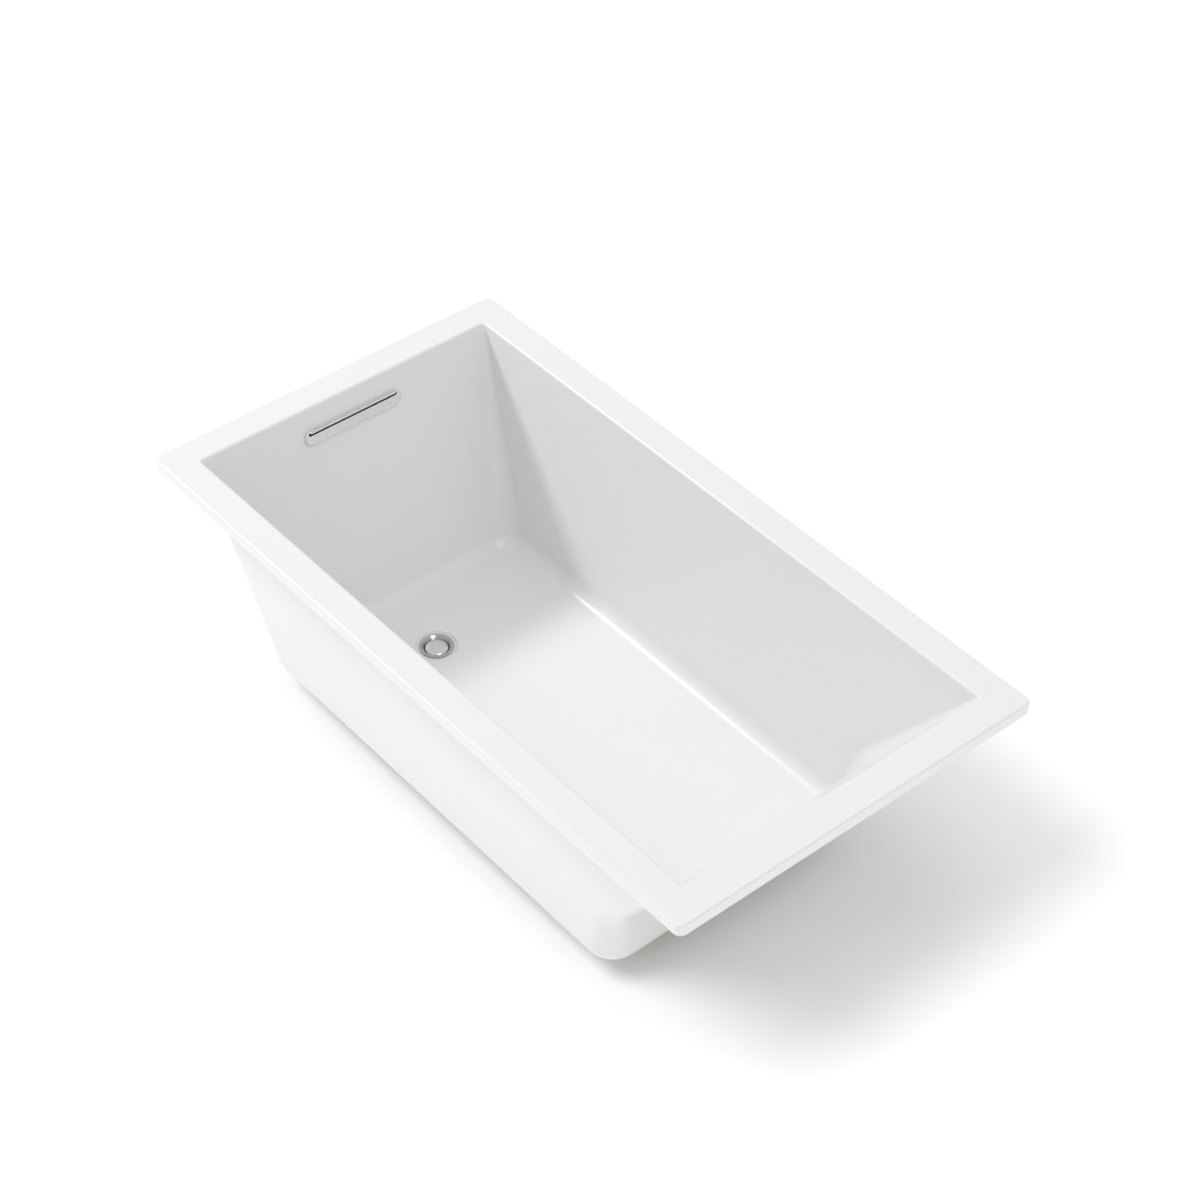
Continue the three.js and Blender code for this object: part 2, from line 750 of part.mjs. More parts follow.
const wallBack = -shellThickness / Math.hypot(1, drainEndLean);
const slotLength = trimLength - 2 * slotEndMargin;
const flangeLength = cutoutLength + 2 * bodyFlangeMargin;
const flangeHeight = cutoutHeight + 2 * bodyFlangeMargin;
const bossSpots = [bossInset - cutoutLength / 2, cutoutLength / 2 - bossInset];

function overflowFront() {
  const group = new THREE.Group();
  const bracketTop = restGap + bracketThickness;
  const trimBack = bracketTop + restGap;
  const trimFront = trimBack + trimThickness;
  const bracketLength = trimLength - 2 * trimSkirt - 2 * restGap;
  const bracketHeight = trimHeight - 2 * trimSkirt - 2 * restGap;
  const slotCut = () => solid(stadium(slotLength, slotHeight, -1, trimFront + 1).translate(0, slotRise, 0));
  let bracket = solid(stadium(bracketLength, bracketHeight, restGap, bracketTop)).subtract(slotCut());
  for (const x of bossSpots) {
    const hole = rod(screwRadius + boltClearance, -1, bracketTop + 1, smallSides);
    const sink = turned(
      [
        [0, bracketTop - 2],
        [screwRadius + boltClearance, bracketTop - 2],
        [screwHeadRadius + boltClearance, bracketTop],
        [screwHeadRadius + boltClearance, bracketTop + 1],
        [0, bracketTop + 1],
      ],
      smallSides,
    ).translate(x, overflowScrewRise, 0);
    bracket = bracket.subtract(solid(hole.translate(x, overflowScrewRise, 0))).subtract(solid(sink));
  }
  group.add(piece("overflow_bracket", geometryOf(bracket), steel));

  let trim = solid(stadium(trimLength, trimHeight, restGap, trimFront));
  const behind = stadium(bracketLength + 2 * restGap, bracketHeight + 2 * restGap, -1, trimBack);
  trim = trim.subtract(solid(behind)).subtract(slotCut());
  group.add(piece("overflow_trim", geometryOf(trim), chrome));

  for (const [i, side] of ["near", "far"].entries()) {
    const screw = turned(
      [
        [0, bracketTop - 2 - overflowScrewLength],
        [screwRadius, bracketTop - overflowScrewLength],
        [screwRadius, bracketTop - 2],
        [screwHeadRadius, bracketTop],
        [0, bracketTop],
      ],
      smallSides,
    ).translate(bossSpots[i], overflowScrewRise, 0);
    group.add(piece(`overflow_screw_${side}`, screw, steel));
  }
  return group;
}

function overflowGasket() {
  const back = wallBack - restGap;
  const front = back - gasketThickness;
  const outer = stadium(flangeLength, flangeHeight, front, back);
  const inner = stadium(cutoutLength, cutoutHeight, front - 1, back + 1);
  return piece("overflow_gasket", geometryOf(solid(outer).subtract(solid(inner))), rubber);
}

// The body is a shallow box behind the wall, with a spigot that points straight down to the riser.
function overflowBody() {
  const front = wallBack - 2 * restGap - gasketThickness;
  const flangeBack = front - bodyFlangeThickness;
  const back = front - bodyDepth;
  const flange = stadium(flangeLength, flangeHeight, flangeBack, front);
  const box = stadium(cutoutLength + 2 * bodyWall, cutoutHeight + 2 * bodyWall, back, front);
  const boxHalf = cutoutHeight / 2 + bodyWall;
  const neckBack = back - socketRadius;
  const neck = block(drainY - socketRadius, drainY + socketRadius, -boxHalf, boxHalf, neckBack, flangeBack);
  const cavity = stadium(cutoutLength, cutoutHeight, back + bodyWall, front + 1);
  const neckBore = block(
    drainY - pipeBore,
    drainY + pipeBore,
    -cutoutHeight / 2,
    cutoutHeight / 2,
    back - pipeBore,
    back + bodyWall + 1,
  );
  const place = (geometry) => solid(geometry.applyMatrix4(overflowFrame));
  const spigotTop = spigotBottom + spigotRise;
  let made = place(flange).add(place(box)).add(place(neck));
  made = made.add(solid(uprightRod(socketRadius, riserX, spigotBottom, spigotTop)));
  made = made.subtract(place(cavity)).subtract(place(neckBore));
  made = made.subtract(solid(uprightRod(pipeBore, riserX, spigotBottom - 1, spigotTop - socketWall)));
  made = made.subtract(solid(uprightRod(socketBore, riserX, spigotBottom - 1, spigotBottom + socketDepth)));
  for (const x of bossSpots) {
    const boss = rod(bossRadius, back + 1, front, smallSides).translate(x, overflowScrewRise, 0);
    const bossHole = rod(screwRadius + boltClearance, back + bodyWall, front + 1, smallSides);
    made = made.add(place(boss)).subtract(place(bossHole.translate(x, overflowScrewRise, 0)));
  }
  return piece("overflow_body", geometryOf(made), plastic);
}

// ---- The bath ----

const bath = new THREE.Group();
bath.name = "bath";
bath.add(basinShell(), rimBattens(), cradle());

const drain = new THREE.Group();
drain.position.set(drainX, drainY, 0);
drain.add(drainFlange(), drainSeals(), stopper());
bath.add(drain, wasteShoe(), wasteTee(), pipes());

const overflow = new THREE.Group();
overflow.applyMatrix4(overflowFrame);
overflow.add(overflowFront(), overflowGasket());
bath.add(overflow, overflowBody());

export default bath;
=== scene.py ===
from math import atan, cos, hypot, pi, radians, sin, sqrt

import bpy
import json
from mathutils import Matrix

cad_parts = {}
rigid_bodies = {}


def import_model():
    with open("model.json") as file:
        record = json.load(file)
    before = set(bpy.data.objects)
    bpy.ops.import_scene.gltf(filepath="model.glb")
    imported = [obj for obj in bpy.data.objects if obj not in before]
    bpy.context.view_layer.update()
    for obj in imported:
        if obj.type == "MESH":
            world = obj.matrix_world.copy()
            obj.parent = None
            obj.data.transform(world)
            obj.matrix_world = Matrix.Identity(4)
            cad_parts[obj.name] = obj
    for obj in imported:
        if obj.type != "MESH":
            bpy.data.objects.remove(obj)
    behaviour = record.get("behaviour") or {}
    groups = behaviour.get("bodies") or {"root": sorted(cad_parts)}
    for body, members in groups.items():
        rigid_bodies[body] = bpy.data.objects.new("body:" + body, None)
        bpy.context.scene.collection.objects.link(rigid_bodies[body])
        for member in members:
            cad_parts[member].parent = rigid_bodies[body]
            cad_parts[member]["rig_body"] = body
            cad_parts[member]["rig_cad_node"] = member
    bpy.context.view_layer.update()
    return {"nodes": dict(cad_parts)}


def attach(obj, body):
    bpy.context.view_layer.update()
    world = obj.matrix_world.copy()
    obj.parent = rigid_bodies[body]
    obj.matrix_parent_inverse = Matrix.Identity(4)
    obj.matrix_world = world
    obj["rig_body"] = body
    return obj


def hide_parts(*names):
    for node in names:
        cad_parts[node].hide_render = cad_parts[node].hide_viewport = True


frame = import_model()
bpy.ops.object.select_all(action="DESELECT")

# ---- Bath shell ----
# One sheet of white sanitary acrylic, drawn down into a mould while it was hot. It has a flat rim with a
# turned-down lip, sides that lean out, a sloping backrest with a rounded knee, and a soft fillet all round
# the floor. The drain's recess and both holes are cut afterwards.

LENGTH, WIDTH, HEIGHT = 1.524, 0.813, 0.520
RIM = 0.065
SKIN = 0.006
BASIN_DEPTH = 0.462
FLOOR_FILLET = 0.035
SIDE_LEAN, DRAIN_END_LEAN, BACKREST_LEAN, FOOT_LEAN = 0.093, 0.285, 0.69, 0.1
KNEE_DEPTH, KNEE_RADIUS = 0.315, 0.150
DRAIN_X, DRAIN_Y = -0.402, -0.022
DRAIN_HOLE_RADIUS, RECESS_RADIUS, RECESS_DEPTH = 0.031, 0.042, 0.0025
OVERFLOW_DEPTH = 0.058
FLOOR = HEIGHT - BASIN_DEPTH
CORNER_STEPS = 12


def backrest_reach(depth):
    """How far the backrest stands from the middle: a slope, a rounded knee, then a nearly upright foot."""
    lean, foot_lean, knee, radius = BACKREST_LEAN, FOOT_LEAN, KNEE_DEPTH, KNEE_RADIUS
    knee_x = LENGTH / 2 - RIM - lean * knee
    slope, foot = hypot(1, lean), hypot(1, foot_lean)
    drop = radius * (slope - foot) / (lean - foot_lean)
    centre_depth = knee + drop
    centre_x = knee_x - lean * drop + radius * slope
    if depth <= centre_depth - radius * lean / slope:
        return LENGTH / 2 - RIM - lean * depth
    if depth >= centre_depth - radius * foot_lean / foot:
        return knee_x + foot_lean * (knee - depth)
    return centre_x - sqrt(radius**2 - (centre_depth - depth) ** 2)


def with_fillet(straight, lean, above_floor, radius):
    """A wall's reach where the fillet turns it in towards the floor."""
    if above_floor >= radius * (1 - lean / hypot(1, lean)):
        return straight
    centre = straight - lean * above_floor + lean * radius - radius * hypot(1, lean)
    return centre + sqrt(max(radius**2 - (radius - above_floor) ** 2, 0))


def basin_outline(depth, skin=0.0, flare=0.0):
    """The basin's level outline at a depth: low x, high x, half width, corner radius, height."""
    fillet = FLOOR_FILLET + skin
    above = max(BASIN_DEPTH + skin - depth, 0)
    side_straight = WIDTH / 2 - RIM - SIDE_LEAN * depth
    side = with_fillet(side_straight, SIDE_LEAN, above, fillet)
    drain_end = with_fillet(LENGTH / 2 - RIM - DRAIN_END_LEAN * depth, DRAIN_END_LEAN, above, fillet)
    backrest = with_fillet(backrest_reach(depth), FOOT_LEAN, above, fillet)
    corner = max(0.006 + 0.1 * depth - (side_straight - side), 0.002)
    grow = skin + flare
    return -drain_end - grow, backrest + grow, side + grow, corner + grow, HEIGHT - depth


def rim_outline(height, inset):
    """The rim's level outline at a height, drawn in from its outer face by the inset."""
    half = LENGTH / 2 - inset
    return -half, half, WIDTH / 2 - inset, max(0.015 - inset, 0.002), height


def eased(count, turn):
    """Shares from 0 to 1 round a quarter circle: turn 'in' starts level, 'out' starts upright."""
    angles = [i / count * pi / 2 for i in range(count + 1)]
    return [(1 - cos(a), sin(a)) if turn == "in" else (sin(a), 1 - cos(a)) for a in angles]


def fillet_depths(skin):
    """Depths up the floor's fillet, from the floor to its top, closest together near the floor."""
    radius = FLOOR_FILLET + skin
    return [BASIN_DEPTH + skin - radius * (1 - sin(pi / 2 * (1 - i / 12))) for i in range(13)]


def draw_outline(low_x, high_x, half_width, corner, height):
    """Adds one level outline to the mesh being edited: a plane with its four corners rounded."""
    bpy.ops.mesh.select_all(action="DESELECT")
    middle = (low_x + high_x) / 2
    bpy.ops.mesh.primitive_plane_add(size=1, location=(middle, 0, height))
    bpy.ops.transform.resize(value=(high_x - low_x, 2 * half_width, 1), center_override=(middle, 0, height))
    bpy.ops.mesh.bevel(
        offset=corner, segments=CORNER_STEPS, affect="VERTICES", profile=0.5, clamp_overlap=False
    )
    bpy.ops.mesh.delete(type="ONLY_FACE")


def edit(piece):
    """Opens one piece for editing its points."""
    bpy.ops.object.select_all(action="DESELECT")
    piece.select_set(True)
    bpy.context.view_layer.objects.active = piece
    bpy.ops.object.mode_set(mode="EDIT")
    bpy.ops.mesh.select_mode(type="VERT")


def select_verts(piece, wanted):
    """Selects the edited piece's vertices for which wanted(index, place) is true."""
    bpy.ops.mesh.select_all(action="DESELECT")
    bpy.ops.object.mode_set(mode="OBJECT")
    for vertex in piece.data.vertices:
        vertex.select = wanted(vertex.index, vertex.co)
    bpy.ops.object.mode_set(mode="EDIT")


def apply(piece, kind, **settings):
    """Adds one modifier to the piece and applies it."""
    bpy.ops.object.select_all(action="DESELECT")
    piece.select_set(True)
    bpy.context.view_layer.objects.active = piece
    bpy.ops.object.modifier_add(type=kind)
    modifier = piece.modifiers[-1]
    for name, value in settings.items():
        setattr(modifier, name, value)
    bpy.ops.object.modifier_apply(modifier=modifier.name)


def carve(piece, tool, operation="DIFFERENCE"):
    """Cuts the piece with a tool shape, or joins the tool to it, and throws the tool away."""
    apply(piece, "BOOLEAN", object=tool, operation=operation, solver="EXACT")
    bpy.data.objects.remove(tool)


def smooth(piece, degrees):
    """Shades the piece smooth except across edges sharper than the angle."""
    bpy.ops.object.select_all(action="DESELECT")
    piece.select_set(True)
    bpy.context.view_layer.objects.active = piece
    bpy.ops.object.shade_smooth_by_angle(angle=radians(degrees))
    apply(piece, "WEIGHTED_NORMAL", keep_sharp=True, weight=80)


def settle(piece):
    """Puts the piece's place, turn and size into its mesh, with its object at the origin."""
    bpy.ops.object.select_all(action="DESELECT")
    piece.select_set(True)
    bpy.context.view_layer.objects.active = piece
    bpy.ops.object.transform_apply(location=True, rotation=True, scale=True)


def drum(radius, bottom, top, x=0.0, y=0.0, sides=96):
    """A plain upright round bar: a tool for holes, or the start of a turned piece."""
    middle = (x, y, (bottom + top) / 2)
    bpy.ops.mesh.primitive_cylinder_add(vertices=sides, radius=radius, depth=top - bottom, location=middle)
    bar = bpy.context.object
    settle(bar)
    return bar


def bar_with_round_ends(length, height, bottom, top, y=0.0):
    """A flat bar whose two ends are half circles, standing up from its outline."""
    bpy.ops.mesh.primitive_plane_add(size=1, location=(0, y, bottom))
    bar = bpy.context.object
    edit(bar)
    bpy.ops.mesh.select_all(action="SELECT")
    bpy.ops.transform.resize(value=(length, height, 1), center_override=(0, y, bottom))
    bpy.ops.mesh.bevel(
        offset=height / 2 - 1e-5, segments=24, affect="VERTICES", profile=0.5, clamp_overlap=False
    )
    bpy.ops.mesh.extrude_region_move(TRANSFORM_OT_translate={"value": (0, 0, top - bottom)})
    bpy.ops.mesh.select_all(action="SELECT")
    bpy.ops.mesh.normals_make_consistent(inside=False)
    bpy.ops.object.mode_set(mode="OBJECT")
    settle(bar)
    return bar


def tilt_to_wall(piece):
    """Moves a piece drawn flat at the origin to the overflow's place on the drain-end wall."""
    wall_x = DRAIN_END_LEAN * OVERFLOW_DEPTH - (LENGTH / 2 - RIM)
    piece.rotation_euler = (pi / 2 - atan(DRAIN_END_LEAN), 0, pi / 2)
    piece.location = (wall_x, 0, HEIGHT - OVERFLOW_DEPTH)
    settle(piece)


outlines = [basin_outline(depth) for depth in fillet_depths(0)]
outlines += [basin_outline(0.355 - 0.074 * i / 14) for i in range(15)]
outlines += [basin_outline(depth) for depth in (0.2, 0.1, 0.03, 0.008)]
for out, up in eased(8, "in"):
    outlines.append(basin_outline(0.0002 + 0.0048 * (1 - up), 0, 0.005 * out))
outlines += [basin_outline(0.0002 - fall, 0, flare) for fall, flare in ((0.00005, 0.007), (0.0001, 0.03))]
outlines.append(rim_outline(HEIGHT - 0.00005, 0.0058))
for out, down in eased(8, "out"):
    outlines.append(rim_outline(HEIGHT - 0.004 * down, 0.004 * (1 - out)))
outlines += [rim_outline(HEIGHT - 0.0242, 0), rim_outline(HEIGHT - 0.025, 0.0008)]
outlines += [rim_outline(HEIGHT - 0.0249, 0.0042), rim_outline(HEIGHT - 0.0242, 0.005)]
outlines += [rim_outline(HEIGHT - 0.0065, 0.005), rim_outline(HEIGHT - SKIN, 0.0055)]
outlines += [basin_outline(SKIN + 0.0001, SKIN, 0.003), basin_outline(SKIN + 0.001, SKIN, 0.001)]
outlines += [basin_outline(depth, SKIN) for depth in (0.012, 0.03, 0.1, 0.2)]
outlines += [basin_outline(0.281 + 0.074 * i / 14, SKIN) for i in range(15)]
outlines += [basin_outline(depth, SKIN) for depth in reversed(fillet_depths(SKIN))]

bpy.ops.mesh.primitive_plane_add(size=1)
shell = bpy.context.object
shell.name = "bath_shell"
edit(shell)
bpy.ops.mesh.select_all(action="SELECT")
bpy.ops.mesh.delete(type="VERT")
for outline in outlines:
    draw_outline(*outline)
around = 4 * (CORNER_STEPS + 1)
for level in range(len(outlines) - 1):
    select_verts(shell, lambda i, place: level * around <= i < (level + 2) * around)
    bpy.ops.mesh.bridge_edge_loops()
for level in (0, len(outlines) - 1):
    select_verts(shell, lambda i, place: level * around <= i < (level + 1) * around)
    bpy.ops.mesh.edge_face_add()
bpy.ops.mesh.select_all(action="SELECT")
bpy.ops.mesh.normals_make_consistent(inside=False)
bpy.ops.object.mode_set(mode="OBJECT")

carve(shell, drum(DRAIN_HOLE_RADIUS, 0.04, 0.07, DRAIN_X, DRAIN_Y))
carve(shell, drum(RECESS_RADIUS, FLOOR - RECESS_DEPTH, 0.07, DRAIN_X, DRAIN_Y))
opening = bar_with_round_ends(0.221, 0.022, -0.02, 0.01)
tilt_to_wall(opening)
carve(shell, opening)


def round_off(piece, width, steps, wanted):
    """Rounds the edges whose two ends both satisfy wanted(place)."""
    edit(piece)
    select_verts(piece, lambda i, place: wanted(place))
    bpy.ops.mesh.select_mode(type="EDGE")
    bpy.ops.mesh.bevel(offset=width, segments=steps, profile=0.5, affect="EDGES", clamp_overlap=True)
    bpy.ops.object.mode_set(mode="OBJECT")


def on_recess_edge(place):
    reach = hypot(place.x - DRAIN_X, place.y - DRAIN_Y)
    return abs(reach - RECESS_RADIUS) < 0.0003 and abs(place.z - FLOOR) < 0.0002


round_off(shell, 0.002, 5, on_recess_edge)
smooth(shell, 40)


def shader_group(name, inputs, outputs):
    """An empty node group with named sockets: inputs gives each one's start value."""
    group = bpy.data.node_groups.new(name, "ShaderNodeTree")
    for label, value in inputs.items():
        kind = "NodeSocketColor" if isinstance(value, tuple) else "NodeSocketFloat"
        group.interface.new_socket(label, in_out="INPUT", socket_type=kind).default_value = value
    for label, kind in outputs.items():
        group.interface.new_socket(label, in_out="OUTPUT", socket_type=kind)
    return group, group.nodes.new("NodeGroupInput"), group.nodes.new("NodeGroupOutput")


def node(tree, kind, links=(), **settings):
    """Adds a node, sets its properties and values, and links (output, input name) pairs into it."""
    made = tree.nodes.new(kind)
    for label, value in settings.items():
        if hasattr(made, label):
            setattr(made, label, value)
        else:
            made.inputs[label].default_value = value
    for output, label in links:
        tree.links.new(output, made.inputs[label])
    return made


# Uneven gloss: broad hand-polish clouds and fine specks, as a value round a middle and as a height.
uneven, given, gives = shader_group(
    "uneven_gloss",
    {"Cloud Scale": 6.0, "Speck Scale": 220.0, "Middle": 0.2, "Spread": 0.06},
    {"Roughness": "NodeSocketFloat", "Height": "NodeSocketFloat"},
)
where = node(uneven, "ShaderNodeTexCoord").outputs["Object"]
clouds = node(uneven, "ShaderNodeTexNoise", [(where, "Vector"), (given.outputs["Cloud Scale"], "Scale")])
specks = node(uneven, "ShaderNodeTexNoise", [(where, "Vector"), (given.outputs["Speck Scale"], "Scale")])
both = node(uneven, "ShaderNodeMath", operation="MULTIPLY_ADD")
uneven.links.new(specks.outputs["Fac"], both.inputs[0])
both.inputs[1].default_value = 0.35
uneven.links.new(clouds.outputs["Fac"], both.inputs[2])
centred = node(uneven, "ShaderNodeMath", operation="SUBTRACT")
uneven.links.new(both.outputs[0], centred.inputs[0])
centred.inputs[1].default_value = 0.675
spread = node(uneven, "ShaderNodeMath", operation="MULTIPLY_ADD")
uneven.links.new(centred.outputs[0], spread.inputs[0])
uneven.links.new(given.outputs["Spread"], spread.inputs[1])
uneven.links.new(given.outputs["Middle"], spread.inputs[2])
uneven.links.new(spread.outputs[0], gives.inputs["Roughness"])
uneven.links.new(both.outputs[0], gives.inputs["Height"])

# Two tones of one colour, drifting from one to the other in soft patches.
two_tone, given, gives = shader_group(
    "two_tone",
    {"Light": (0.8, 0.8, 0.8, 1.0), "Dark": (0.7, 0.7, 0.7, 1.0), "Scale": 8.0},
    {"Color": "NodeSocketColor"},
)
where = node(two_tone, "ShaderNodeTexCoord").outputs["Object"]
patch_links = [(where, "Vector"), (given.outputs["Scale"], "Scale")]
patches = node(two_tone, "ShaderNodeTexNoise", patch_links, Detail=4.0)
blend = node(two_tone, "ShaderNodeMix", data_type="RGBA")
two_tone.links.new(patches.outputs["Fac"], blend.inputs[0])
two_tone.links.new(given.outputs["Light"], blend.inputs[6])
two_tone.links.new(given.outputs["Dark"], blend.inputs[7])
two_tone.links.new(blend.outputs[2], gives.inputs["Color"])


def finish(name, light, dark, tone_scale, clouds_at, specks_at, roughness, spread, bump, bump_depth, **fixed):
    """A material of two drifting tones with an uneven gloss and a fine surface height."""
    material = bpy.data.materials.new(name)
    material.use_nodes = True
    tree = material.node_tree
    shader = tree.nodes["Principled BSDF"]
    for label, value in fixed.items():
        shader.inputs[label.replace("_", " ")].default_value = value
    tones = node(tree, "ShaderNodeGroup", node_tree=two_tone)
    tones.inputs["Light"].default_value = (*light, 1)
    tones.inputs["Dark"].default_value = (*dark, 1)
    tones.inputs["Scale"].default_value = tone_scale
    gloss = node(tree, "ShaderNodeGroup", node_tree=uneven)
    gloss.inputs["Cloud Scale"].default_value = clouds_at
    gloss.inputs["Speck Scale"].default_value = specks_at
    gloss.inputs["Middle"].default_value = roughness
    gloss.inputs["Spread"].default_value = spread
    relief = node(tree, "ShaderNodeBump", Strength=bump, Distance=bump_depth)
    tree.links.new(tones.outputs["Color"], shader.inputs["Base Color"])
    tree.links.new(gloss.outputs["Roughness"], shader.inputs["Roughness"])
    tree.links.new(gloss.outputs["Height"], relief.inputs["Height"])
    tree.links.new(relief.outputs["Normal"], shader.inputs["Normal"])
    return material


acrylic = finish(
    "white_acrylic",
    (0.845, 0.845, 0.84),
    (0.825, 0.826, 0.823),
    tone_scale=3.0,
    clouds_at=5.0,
    specks_at=140.0,
    roughness=0.30,
    spread=0.08,
    bump=0.05,
    bump_depth=0.0004,
    Specular_IOR_Level=0.45,
    Coat_Weight=0.15,
    Coat_Roughness=0.2,
)


def dress(piece, material, slot, body="bath"):
    """Gives a new piece its material and the body it rides on; the slot is not used."""
    piece.data.materials.clear()
    piece.data.materials.append(material)
    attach(piece, body)


dress(shell, acrylic, "acrylic")
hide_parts("basin_shell")

# ---- Rim battens ----
# Four strips of planed softwood under the rim's flat, one to each side. They are glued up into the
# turned-down lip so that the rim doesn't flex when it is leaned on, with small gaps where they meet.


def copy_of(part, name, bevel):
    """A separate copy of a CAD piece with its loose triangles joined up and its edges eased."""
    piece = frame["nodes"][part].copy()
    piece.data = piece.data.copy()
    piece.name = name
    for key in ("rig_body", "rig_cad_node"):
        del piece[key]
    piece.parent = None
    bpy.context.scene.collection.objects.link(piece)
    edit(piece)
    bpy.ops.mesh.select_all(action="SELECT")
    bpy.ops.mesh.remove_doubles(threshold=0.00001)
    bpy.ops.mesh.customdata_custom_splitnormals_clear()
    bpy.ops.mesh.dissolve_limited(angle_limit=radians(0.5))
    bpy.ops.object.mode_set(mode="OBJECT")
    apply(piece, "BEVEL", width=bevel, segments=3, limit_method="ANGLE", angle_limit=radians(40))
    smooth(piece, 35)
    return piece


# Long grain: stretched noise turned into streaks, with a row of growth lines that wander along the strip.
grain, given, gives = shader_group(
    "long_grain",
    {"Along": 0.0, "Light": (0.6, 0.45, 0.28, 1.0), "Dark": (0.42, 0.29, 0.16, 1.0)},
    {"Color": "NodeSocketColor", "Height": "NodeSocketFloat"},
)
place = node(grain, "ShaderNodeTexCoord").outputs["Object"]
turned_place = node(grain, "ShaderNodeMapping")
turned_place.inputs["Rotation"].default_value = (0, 0, pi / 2)
grain.links.new(place, turned_place.inputs["Vector"])
pick = node(grain, "ShaderNodeMix", data_type="VECTOR")
grain.links.new(given.outputs["Along"], pick.inputs[0])
grain.links.new(place, pick.inputs[4])
grain.links.new(turned_place.outputs["Vector"], pick.inputs[5])
drawn_out = node(grain, "ShaderNodeMapping")
drawn_out.inputs["Scale"].default_value = (2.0, 55.0, 55.0)
grain.links.new(pick.outputs[1], drawn_out.inputs["Vector"])
streaks = node(grain, "ShaderNodeTexNoise", [(drawn_out.outputs["Vector"], "Vector")], Scale=1.0, Detail=6.0)
rings = node(grain, "ShaderNodeTexWave", [(drawn_out.outputs["Vector"], "Vector")], Scale=0.6, Distortion=6.0)
rings.bands_direction = "Y"
mixed = node(grain, "ShaderNodeMath", operation="MULTIPLY")
grain.links.new(streaks.outputs["Fac"], mixed.inputs[0])
grain.links.new(rings.outputs["Fac"], mixed.inputs[1])
tone = node(grain, "ShaderNodeMix", data_type="RGBA")
grain.links.new(mixed.outputs[0], tone.inputs[0])
grain.links.new(given.outputs["Light"], tone.inputs[6])
grain.links.new(given.outputs["Dark"], tone.inputs[7])
grain.links.new(tone.outputs[2], gives.inputs["Color"])
grain.links.new(mixed.outputs[0], gives.inputs["Height"])


def softwood(name, along):
    """Pine whose grain runs along the bath's length at 0 and across it at 1."""
    material = bpy.data.materials.new(name)
    material.use_nodes = True
    tree = material.node_tree
    shader = tree.nodes["Principled BSDF"]
    shader.inputs["Roughness"].default_value = 0.7
    wood = node(tree, "ShaderNodeGroup", node_tree=grain)
    wood.inputs["Along"].default_value = along
    relief = node(tree, "ShaderNodeBump", Strength=0.4, Distance=0.0006)
    tree.links.new(wood.outputs["Color"], shader.inputs["Base Color"])
    tree.links.new(wood.outputs["Height"], relief.inputs["Height"])
    tree.links.new(relief.outputs["Normal"], shader.inputs["Normal"])
    return material


pine_lengthwise = softwood("pine_lengthwise", 0.0)
pine_crosswise = softwood("pine_crosswise", 1.0)
pine_of = {"near": pine_lengthwise, "far": pine_lengthwise, "head": pine_crosswise, "drain": pine_crosswise}
for side, pine in pine_of.items():
    batten = copy_of(f"rim_batten_{side}", f"batten_{side}", bevel=0.0015)
    dress(batten, pine, "timber")
    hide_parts(f"rim_batten_{side}")

# ---- Base board ----
# A panel of pressed wood chips laid in resin under the floor of the bath, which spreads the load on the
# cradle. It is sawn square, with its arrises taken off and four screw holes.

chipboard = bpy.data.materials.new("chipboard")
chipboard.use_nodes = True
tree = chipboard.node_tree
where = node(tree, "ShaderNodeTexCoord").outputs["Object"]
flakes = node(tree, "ShaderNodeTexVoronoi", [(where, "Vector")], Scale=160.0)
dust = node(tree, "ShaderNodeTexNoise", [(where, "Vector")], Scale=40.0, Detail=6.0)
flake_tone = node(tree, "ShaderNodeMix", [(flakes.outputs["Color"], "Factor")], data_type="RGBA")
flake_tone.inputs[6].default_value = (0.66, 0.50, 0.31, 1)
flake_tone.inputs[7].default_value = (0.36, 0.24, 0.13, 1)
dusted = node(tree, "ShaderNodeMix", [(dust.outputs["Fac"], "Factor")], data_type="RGBA")
tree.links.new(flake_tone.outputs[2], dusted.inputs[6])
dusted.inputs[7].default_value = (0.55, 0.42, 0.27, 1)
relief = node(tree, "ShaderNodeBump", [(flakes.outputs["Distance"], "Height")], Strength=0.5, Distance=0.0008)
shader = tree.nodes["Principled BSDF"]
shader.inputs["Roughness"].default_value = 0.85
tree.links.new(dusted.outputs[2], shader.inputs["Base Color"])
tree.links.new(relief.outputs["Normal"], shader.inputs["Normal"])
board = copy_of("base_board", "chip_board", bevel=0.0008)
dress(board, chipboard, "timber")
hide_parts("base_board")

# ---- Cradle rails and their screws ----
# Two lengths of folded zinc-plated steel channel, open side down, that cross under the board near its ends.
# Two pan-head screws hold each one up into the board.

zinc = finish(
    "zinc_plate",
    (0.60, 0.62, 0.64),
    (0.46, 0.47, 0.49),
    tone_scale=60.0,
    clouds_at=30.0,
    specks_at=500.0,
    roughness=0.36,
    spread=0.30,
    bump=0.12,
    bump_depth=0.0002,
    Metallic=1.0,
)


def plate_with_zinc(part):
    """Gives a CAD piece that is kept as it is the zinc finish."""
    materials = frame["nodes"][part].data.materials
    materials.clear()
    materials.append(zinc)


for end in ("drain", "head"):
    rail = copy_of(f"cradle_rail_{end}", f"channel_{end}", bevel=0.0006)
    dress(rail, zinc, "steel")
    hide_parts(f"cradle_rail_{end}")


